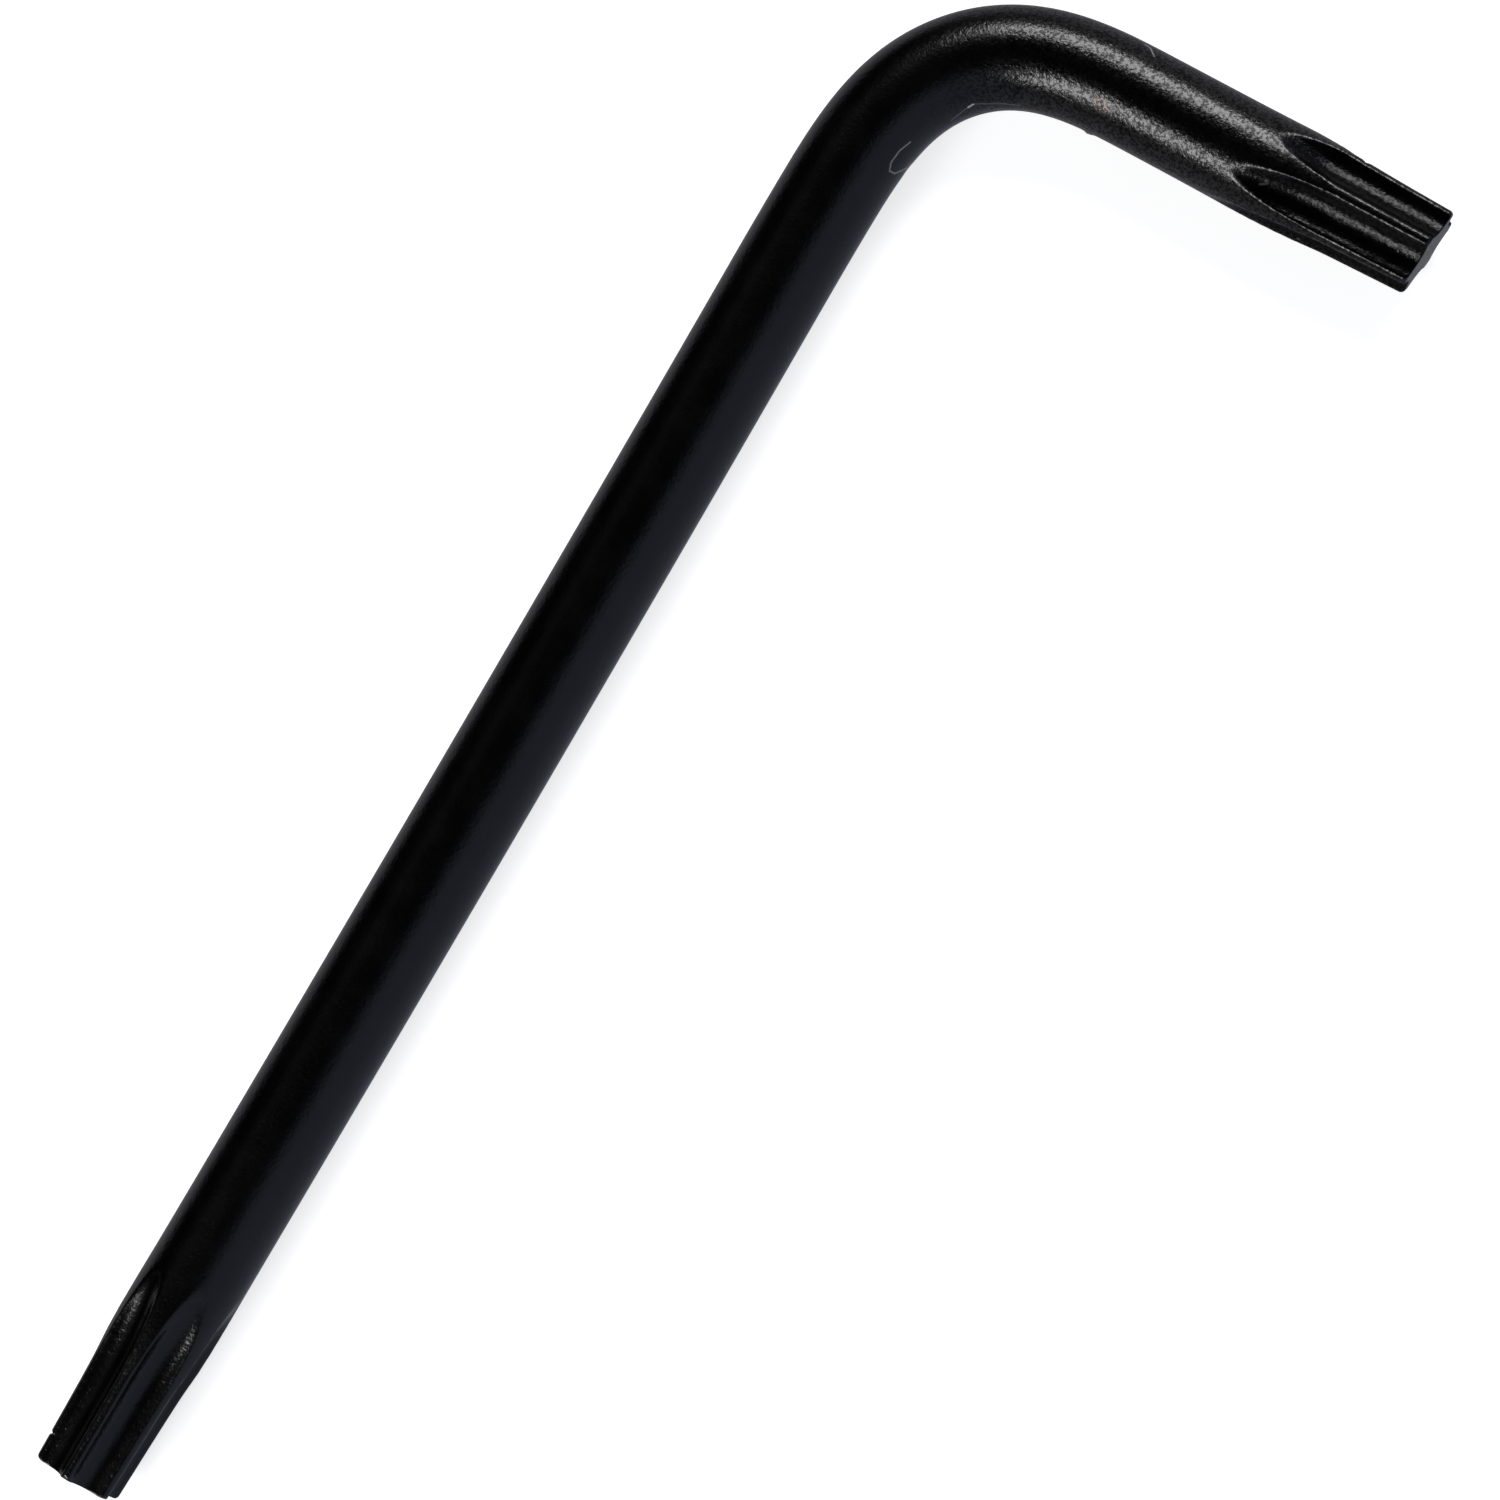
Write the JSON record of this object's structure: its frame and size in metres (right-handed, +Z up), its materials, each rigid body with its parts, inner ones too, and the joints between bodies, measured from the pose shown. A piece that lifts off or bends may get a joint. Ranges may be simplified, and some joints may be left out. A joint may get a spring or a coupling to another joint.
{
  "type": "star-drive key",
  "caption": "L-shaped key of round black steel rod with a star-drive tip on each end, for turning screws with a star recess.",
  "frame": {"origin": "middle of the outer box in X and Y, on the surface that the key lies on", "axes": "+X towards the tip of the long arm, +Y towards the tip of the short arm, +Z up, square to the plane of the bend"},
  "size_m": [0.0864, 0.0294, 0.005],
  "materials": {
    "black_steel": "black oxide over hardened steel, semi-gloss with a fine grain, worn a little brighter along the edges of the star tips"
  },
  "bodies": {
    "root": {"key": "black_steel"}
  },
  "joints": []
}
